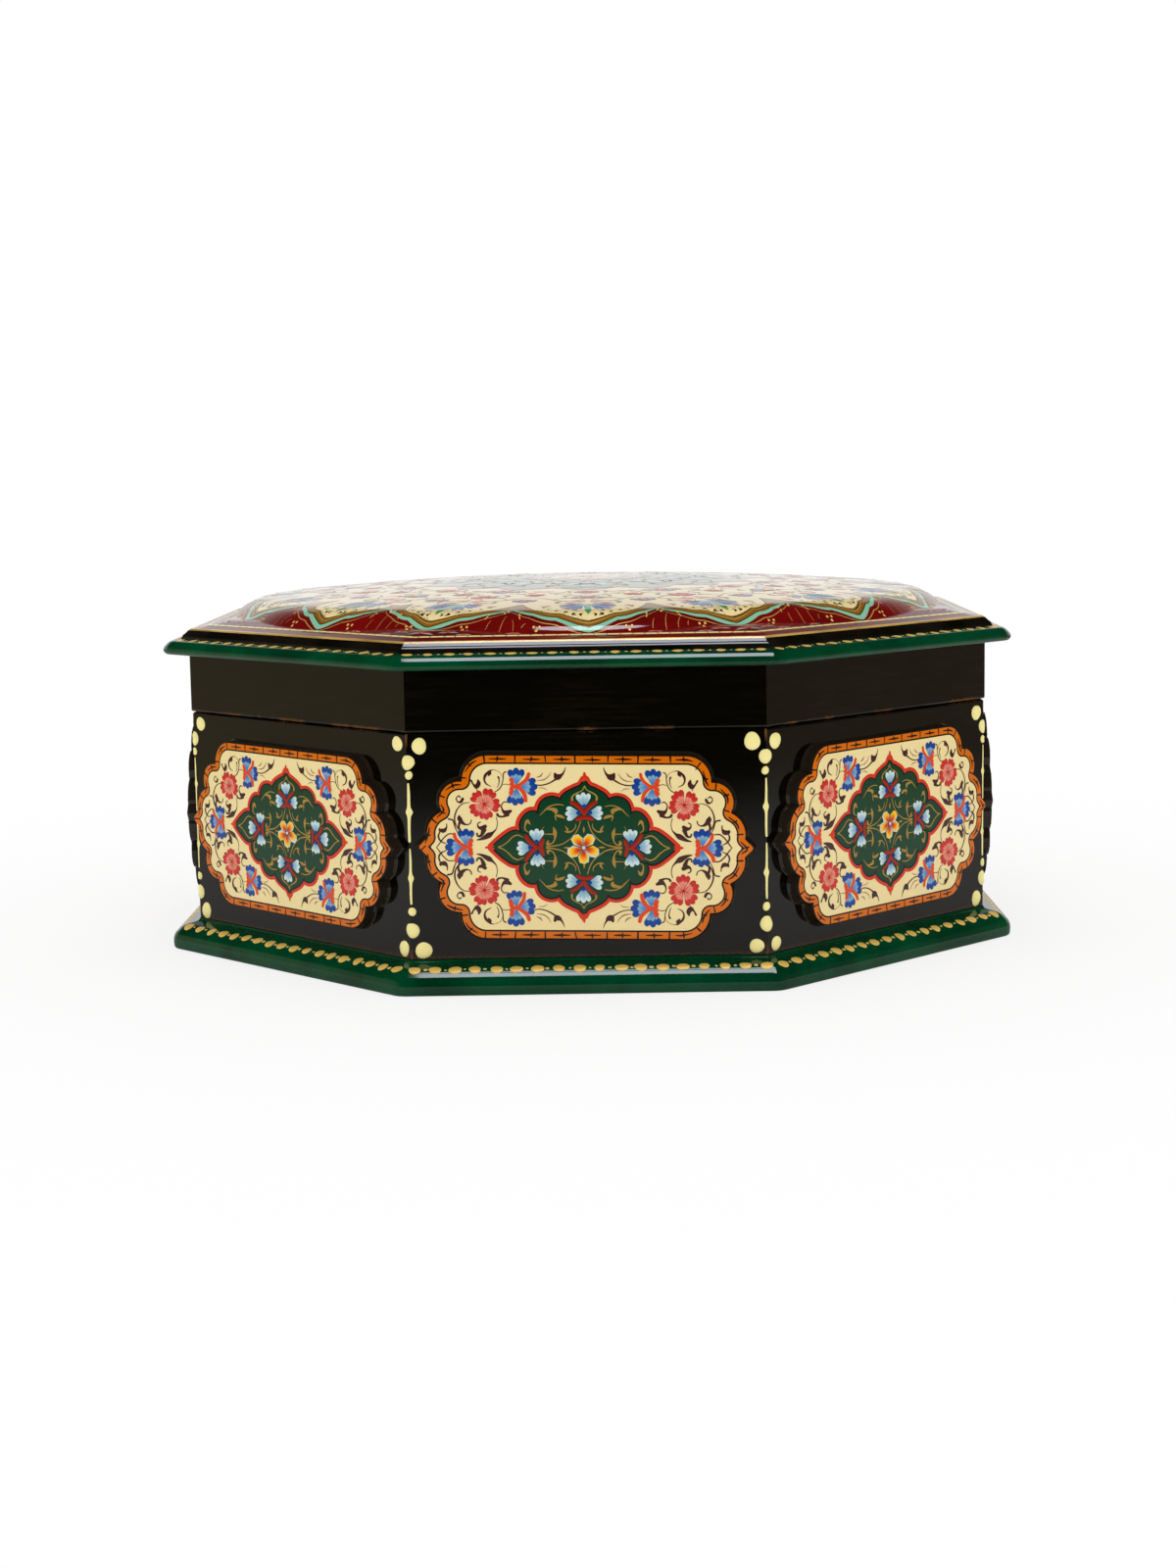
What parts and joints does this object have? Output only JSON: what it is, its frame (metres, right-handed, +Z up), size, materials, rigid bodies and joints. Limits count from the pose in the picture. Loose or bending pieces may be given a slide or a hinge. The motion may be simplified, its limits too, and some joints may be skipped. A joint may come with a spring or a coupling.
{
  "type": "octagonal jewellery box",
  "caption": "Eight-sided wooden jewellery box, lacquered and painted in papier mache style, with moulded base and lid boards, raised plaques and a hinged domed lid.",
  "frame": {"origin": "centre of the base board's underside", "axes": "+Z up, -Y towards the front face, hinges on the +Y side, +X to the right as seen from the front"},
  "size_m": [0.2138, 0.2138, 0.091],
  "materials": {
    "green_moulding": "dark green lacquer with gold dots, glossy",
    "painted_cap": "papier mache painted in crimson, gold and cream under glossy lacquer",
    "black_lacquer": "black lacquer, glossy, worn at the corners",
    "painted_plaque": "painted flowers on cream with an orange border, under glossy lacquer",
    "velvet_card": "card covered with dark red cloth",
    "brass": "dull brass"
  },
  "bodies": {
    "box": {"base_board": "green_moulding", "floor_lining": "velvet_card", "wall_front": "black_lacquer", "wall_front_right": "black_lacquer", "wall_right": "black_lacquer", "wall_back_right": "black_lacquer", "wall_back": "black_lacquer", "wall_back_left": "black_lacquer", "wall_left": "black_lacquer", "wall_front_left": "black_lacquer", "plaque_front": "painted_plaque", "plaque_front_right": "painted_plaque", "plaque_right": "painted_plaque", "plaque_back_right": "painted_plaque", "plaque_back": "painted_plaque", "plaque_back_left": "painted_plaque", "plaque_left": "painted_plaque", "plaque_front_left": "painted_plaque", "wall_lining_front": "velvet_card", "wall_lining_front_right": "velvet_card", "wall_lining_right": "velvet_card", "wall_lining_back_right": "velvet_card", "wall_lining_back": "velvet_card", "wall_lining_back_left": "velvet_card", "wall_lining_left": "velvet_card", "wall_lining_front_left": "velvet_card", "hinge_body_leaf_left": "brass", "hinge_body_leaf_right": "brass", "hinge_pin_left": "brass", "hinge_pin_right": "brass", "body_hinge_screws": "brass"},
    "lid": {"lid_board": "green_moulding", "lid_dome": "painted_cap", "lid_lining": "velvet_card", "lid_band_front": "black_lacquer", "lid_band_front_right": "black_lacquer", "lid_band_right": "black_lacquer", "lid_band_back_right": "black_lacquer", "lid_band_back": "black_lacquer", "lid_band_back_left": "black_lacquer", "lid_band_left": "black_lacquer", "lid_band_front_left": "black_lacquer", "hinge_lid_leaf_left": "brass", "hinge_lid_leaf_right": "brass", "lid_hinge_screws": "brass"}
  },
  "joints": [
    {"name": "lid_hinge", "type": "hinge", "parent": "box", "child": "lid", "pos_m": [0, 0.098, 0.06035], "axis": [-1, 0, 0], "range_deg": [0, 100]}
  ]
}
